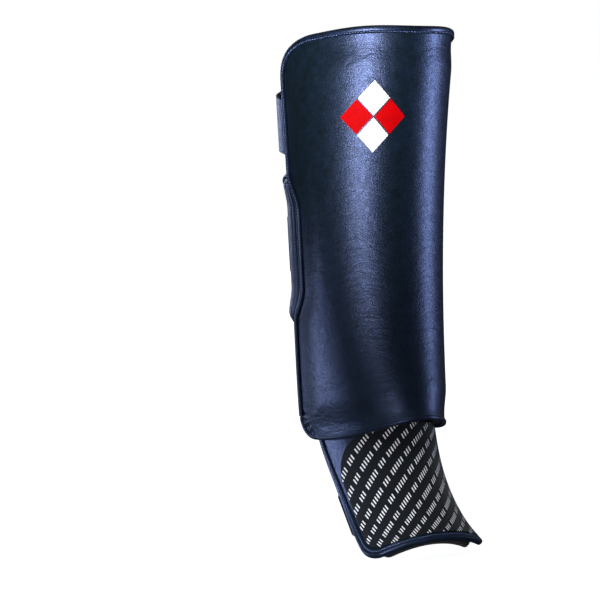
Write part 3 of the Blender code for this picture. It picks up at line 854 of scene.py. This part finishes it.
def instep_layer(name, margins, top, depth, materials, node):
    """Layer of the instep between two depths under its outer face, set in from its edges by margins."""
    across, down = instep_grid(*margins, INSTEP_COLUMNS, INSTEP_ROWS)
    place, out = instep_frame(across, down)
    from_side = (1 - np.abs(across / across.max())) * INSTEP_HALF_GIRTH
    from_end = np.minimum(down - down.min(axis=0), down.max(axis=0) - down) * INSTEP_LENGTH
    rim = np.minimum(from_side, from_end)
    thick = depth - top
    rounded = round_edge(rim, max(LAYER_LEAST_ROUND, thick * LAYER_ROUND_SHARE))
    half = thick / 2 * (LAYER_RIM_SHARE + (1 - LAYER_RIM_SHARE) * rounded)
    middle = place - (top + depth) / 2 * out
    flat = np.stack([across * INSTEP_HALF_GIRTH, down * INSTEP_LENGTH], axis=-1)
    layer = add_slab(name, middle + half[..., None] * out, middle - half[..., None] * out, materials, flat)
    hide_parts(node)
    return layer


def new_print(name):
    """Black brushed cloth with rows of short white slanted ticks in groups of about five and three.

    A row's number and the place in it come from the flat cloth turned by the row's slant; the ticks
    lean with the place across the row, and each row starts a shift further on than the last.
    """
    material, tree, shader = new_surface(
        name, {"Roughness": 0.88, "Specular IOR Level": 0.25, "Sheen Weight": 0.2, "Sheen Roughness": 0.45}
    )
    flat = add_node(tree, "UVMap", uv_map="flat").outputs["UV"]
    turned = add_node(tree, "Mapping", {"Vector": flat, "Rotation": (0, 0, ROW_TURN)}).outputs["Vector"]
    rows = add_node(tree, "SeparateXYZ", {"Vector": turned}).outputs

    def maths(operation, first, second=0.0):
        return add_node(tree, "Math", {0: first, 1: second}, operation=operation).outputs["Value"]

    row = maths("DIVIDE", rows["Y"], ROW_PITCH)
    in_row = maths("FRACT", row)
    shift = maths("MULTIPLY", maths("FLOOR", row), ROW_SHIFT)
    lean = maths("MULTIPLY", in_row, TICK_LEAN)
    place = maths("ADD", maths("ADD", rows["X"], shift), lean)
    tick = maths("LESS_THAN", maths("FRACT", maths("DIVIDE", place, TICK_PITCH)), TICK_WIDTH)
    from_middle = maths("ABSOLUTE", maths("SUBTRACT", in_row, 0.5))
    inside = maths("LESS_THAN", from_middle, TICK_HEIGHT / ROW_PITCH / 2)
    group = maths("FRACT", maths("DIVIDE", place, GROUP_PITCH))
    from_break = maths("ABSOLUTE", maths("SUBTRACT", group, GROUP_BREAK))
    off_break = maths("GREATER_THAN", from_break, GROUP_BREAK_HALF)
    before_end = maths("LESS_THAN", group, GROUP_END)
    mask = maths("MULTIPLY", maths("MULTIPLY", tick, inside), maths("MULTIPLY", off_break, before_end))
    fibres = {"Scale": 900, "Detail": 3, "Roughness": 0.7}
    weave = add_node(tree, "TexNoise", {"Vector": flat, **fibres}).outputs["Fac"]
    ground = ramp(tree, weave, [(0.35, linear("#04070a")), (0.7, linear("#141b26"))])
    ink = ramp(tree, weave, [(0.3, linear("#d6dde8")), (0.6, linear("#f6faff"))])
    mix = add_node(tree, "MixRGB", {"Fac": mask, "Color1": ground, "Color2": ink})
    tree.links.new(mix.outputs["Color"], shader.inputs["Base Color"])
    relief = add_node(tree, "Bump", {"Height": weave, "Strength": 0.35, "Distance": 0.0003})
    tree.links.new(relief.outputs["Normal"], shader.inputs["Normal"])
    return material


PRINT = new_print("tick_print")
FOAM_COVER = new_cloth("foam_cover", "#040506", "#121419", (0.0012, 0.0012), 0.9)

instep_pad = instep_layer(
    "instep_pad_dressed", (0, 0, 0, 0), 0, INSTEP_SHELL, [LEATHER, LINING], "instep_pad"
)
print_margins = (PRINT_MARGIN, PRINT_MARGIN, PRINT_TOP_MARGIN, PRINT_CORNER_RADIUS)
print_panel = instep_layer(
    "instep_print_panel_dressed",
    print_margins,
    -PRINT_GAP - PRINT_CLOTH,
    -PRINT_GAP,
    [PRINT],
    "instep_print_panel",
)
seat = INSTEP_SHELL + INSTEP_PAD_GAP
padding = instep_layer(
    "instep_padding_dressed",
    (INSTEP_PAD_MARGIN, INSTEP_PAD_TOE_MARGIN, INSTEP_PAD_MARGIN, 0),
    seat,
    seat + INSTEP_PAD_FOAM,
    [FOAM_COVER],
    "instep_padding",
)

across, down = instep_grid(0, 0, 0, 0, 90, 60)
around = [np.concatenate([grid[::-1, 0], grid[0, 1:-1], grid[:, -1]]) for grid in (across, down)]
measured = instep_point(*around)
run = np.concatenate([[0], np.cumsum(np.linalg.norm(np.diff(measured, axis=0), axis=-1))])
places = np.linspace(0, run[-1], int(run[-1] / SWEEP_STEP) + 2)
place, normal = instep_frame(*(np.interp(places, run, line) for line in around))
path = place - INSTEP_SHELL / 2 * normal
inward = unit(np.cross(normal, unit(np.gradient(path, axis=0))))
profile = tape_profile(INSTEP_SHELL, BINDING_WIDTH, SEAM_INWARD)[::-1]
instep_binding = add_sweep("instep_binding_dressed", path, inward, normal, profile, [TAPE_LEATHER])
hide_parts("instep_binding")
row = path + SEAM_INWARD * inward + (INSTEP_SHELL / 2 + CLEARANCE + TAPE - STITCH_SINK) * normal
add_stitches("instep_binding_stitches", row, normal, SEWING_THREAD)

# Foot strap
# A narrow elastic that hangs in a shallow bow under the sole. Its width is set along the instep's
# ridge, which slopes, so the band itself is wider than that value.

FOOT_STRAP_WIDTH = 0.030
FOOT_STRAP_THICKNESS = 0.0020
FOOT_STRAP_START = 0.42
FOOT_STRAP_HANG = 0.0048
FOOT_STRAP_SAG = 0.012
FOOT_STRAP_ROUND = 0.0012
FOOT_STRAP_COLUMNS = 90
FOOT_STRAP_ROWS = 21

from_edge = np.linspace(0, FOOT_STRAP_WIDTH, FOOT_STRAP_ROWS)[:, None]
down = FOOT_STRAP_START + from_edge / INSTEP_LENGTH
share = np.linspace(0, 1, FOOT_STRAP_COLUMNS)[None, :]
left, right = (instep_point(np.full_like(down, side), down)[:, 0][:, None] for side in (-1, 1))
middle = left * (1 - share[..., None]) + right * share[..., None]
fall = FOOT_STRAP_HANG + FOOT_STRAP_SAG * np.sin(math.pi * share) ** 0.8
middle = middle - fall[..., None] * (0, 0, 1)
out = unit(np.cross(np.gradient(middle, axis=1), np.gradient(middle, axis=0)))
to_edge = np.minimum(from_edge, FOOT_STRAP_WIDTH - from_edge) + 0 * share
half = FOOT_STRAP_THICKNESS / 2 * round_edge(to_edge, FOOT_STRAP_ROUND)
run = 2 * INSTEP_TOE_HALF_WIDTH * share
foot_strap = add_slab(
    "foot_strap_dressed",
    middle + half[..., None] * out,
    middle - half[..., None] * out,
    [WEBBING],
    np.stack(np.broadcast_arrays(run, from_edge), axis=-1),
)
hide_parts("foot_strap")
length = np.linalg.norm(np.diff(middle[FOOT_STRAP_ROWS // 2], axis=0), axis=-1).sum()

# Floor and light
# A pale paper floor just under the pad, bright to the camera and dim in the leather's reflections.
# Two tilted boxes draw the tall bright bands, two low ones light the hem's outer corner and the
# print, one behind lights the strap's end and one overhead fills.


def add_light(name, azimuth, distance, height, size, power, aim_height=0.0, spread=180, tint="#ffffff"):
    """Soft box at an azimuth round the pad, turned to a height on its axis.

    Its grid's angle, spread, keeps the light off the rest of the pad, and the camera can't see it.
    """
    data = bpy.data.lights.new(name, "AREA")
    data.shape = "RECTANGLE"
    data.size, data.size_y = size
    data.energy = power
    data.color = linear(tint)[:3]
    data.spread = math.radians(spread)
    light = bpy.data.objects.new(name, data)
    turn = math.radians(azimuth)
    light.location = (distance * math.sin(turn), -distance * math.cos(turn), height)
    light.rotation_mode = "QUATERNION"
    light.rotation_quaternion = (Vector((0, 0, aim_height)) - light.location).to_track_quat("-Z", "Y")
    light.visible_camera = False
    bpy.context.collection.objects.link(light)


add_light("key_box", -50, 0.95, -0.16, (0.36, 0.30), 3.2, 0.50, 58)
add_light("side_box", 70, 0.95, -0.12, (0.30, 0.34), 0.95, 0.34, 72, "#c4d6ff")
add_light("low_box", -124, 0.62, -0.24, (0.36, 0.16), 0.25, -0.26, 50, "#d8e4ff")
add_light("foot_box", -34, 0.9, -0.21, (0.12, 0.08), 0.07, -0.255, 18)
add_light("edge_box", -176, 1.8, 0.3, (0.24, 1.2), 9.0, tint="#c4d6ff")
add_light("top_box", -40, 2.2, 3.2, (2.0, 2.0), 36)

world = bpy.data.worlds.new("studio")
world.use_nodes = True
world.node_tree.nodes["Background"].inputs["Color"].default_value = (1.0, 1.0, 1.0, 1.0)
world.node_tree.nodes["Background"].inputs["Strength"].default_value = 0.10
bpy.context.scene.world = world


def new_floor_paper(name):
    """White paper that the camera sees evenly lit, and that sends little light back to the leather."""
    even_white = {"Roughness": 0.95, "Specular IOR Level": 0.0, "Emission Color": linear("#ffffff")}
    material, tree, shader = new_surface(name, even_white)
    seen = add_node(tree, "LightPath").outputs["Is Camera Ray"]
    paper = add_node(tree, "MapRange", {"Value": seen, "To Min": 0.12, "To Max": 0.9})
    glow = add_node(tree, "MapRange", {"Value": seen, "To Min": 0.0, "To Max": 0.9})
    tree.links.new(paper.outputs["Result"], shader.inputs["Base Color"])
    tree.links.new(glow.outputs["Result"], shader.inputs["Emission Strength"])
    return material


FLOOR_GAP = 0.004
FLOOR_REACH = 9
FLOOR_BEHIND = 12
floor_level = cad_box[0][2] - FLOOR_GAP
floor_mesh = bpy.data.meshes.new("floor")
floor_front = ((-FLOOR_REACH, -FLOOR_REACH), (FLOOR_REACH, -FLOOR_REACH))
floor_back = ((FLOOR_REACH, FLOOR_BEHIND), (-FLOOR_REACH, FLOOR_BEHIND))
floor_corners = [(x, y, floor_level) for x, y in floor_front + floor_back]
floor_mesh.from_pydata(floor_corners, [], [(0, 1, 2, 3)])
floor_mesh.materials.append(new_floor_paper("floor_paper"))
floor = bpy.data.objects.new("floor", floor_mesh)
bpy.context.collection.objects.link(floor)
